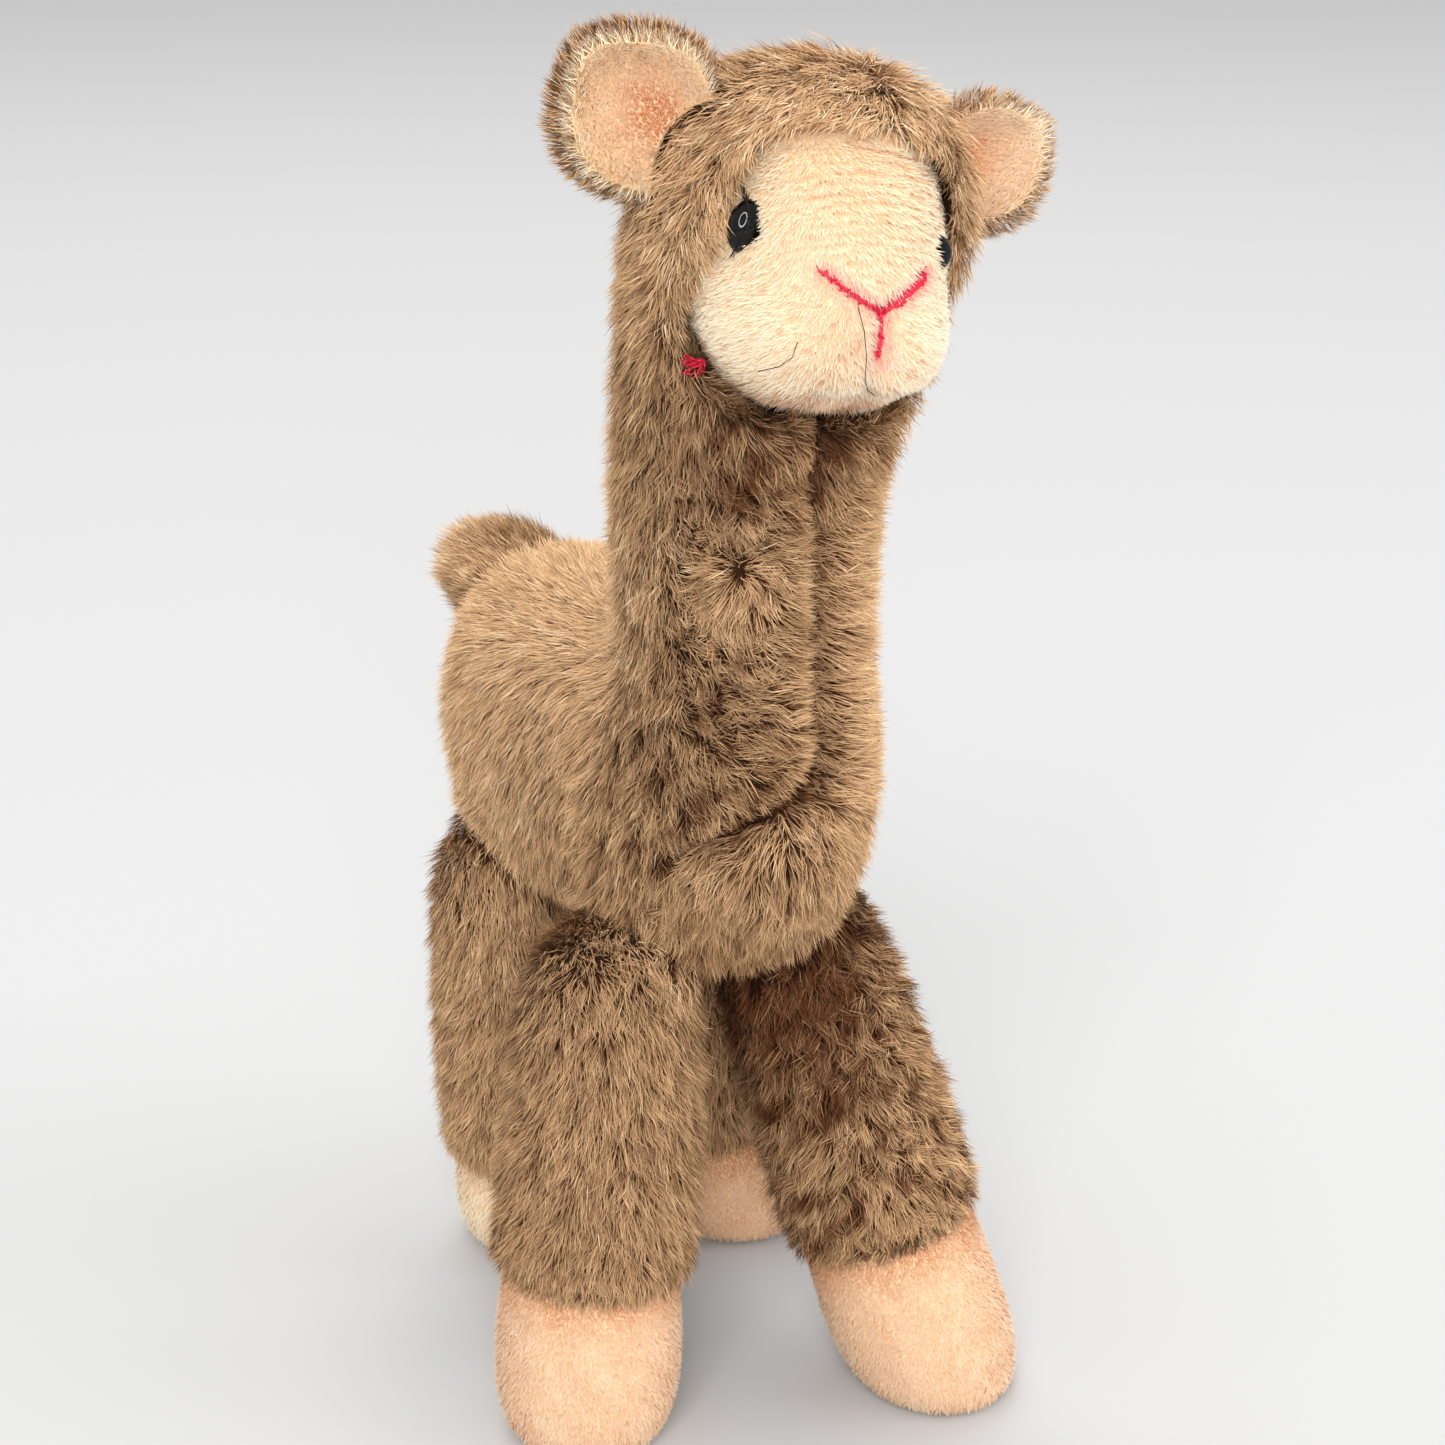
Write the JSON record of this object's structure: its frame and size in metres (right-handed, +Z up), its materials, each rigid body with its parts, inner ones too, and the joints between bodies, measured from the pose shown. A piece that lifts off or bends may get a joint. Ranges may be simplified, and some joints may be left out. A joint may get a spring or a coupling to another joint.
{
  "type": "plush llama",
  "caption": "Standing plush llama with an upright neck, splayed front legs, a lobed tail, velour face, ear linings and hooves, plastic eyes and a stitched nose and mouth.",
  "frame": {"origin": "on the floor plane, under the middle of the part's bounding box", "axes": "+Z up, the muzzle towards -Y, the llama's right side towards -X"},
  "size_m": [0.1244, 0.1842, 0.3093],
  "materials": {
    "brown_plush": "long pile plush",
    "cream_velour": "short pile velour",
    "eye_plastic": "polished",
    "washer_plastic": "moulded",
    "pink_thread": "embroidery thread"
  },
  "bodies": {
    "root": {"body": "brown_plush", "face": "cream_velour", "eye_right": "eye_plastic", "eye_washer_right": "washer_plastic", "eye_left": "eye_plastic", "eye_washer_left": "washer_plastic", "ear_back_right": "brown_plush", "ear_lining_right": "cream_velour", "ear_back_left": "brown_plush", "ear_lining_left": "cream_velour", "leg_front_right": "brown_plush", "hoof_front_right": "cream_velour", "leg_front_left": "brown_plush", "hoof_front_left": "cream_velour", "leg_rear_right": "brown_plush", "hoof_rear_right": "cream_velour", "leg_rear_left": "brown_plush", "hoof_rear_left": "cream_velour", "tail": "brown_plush", "nose_stitch": "pink_thread", "cheek_stitch": "pink_thread"}
  },
  "joints": []
}
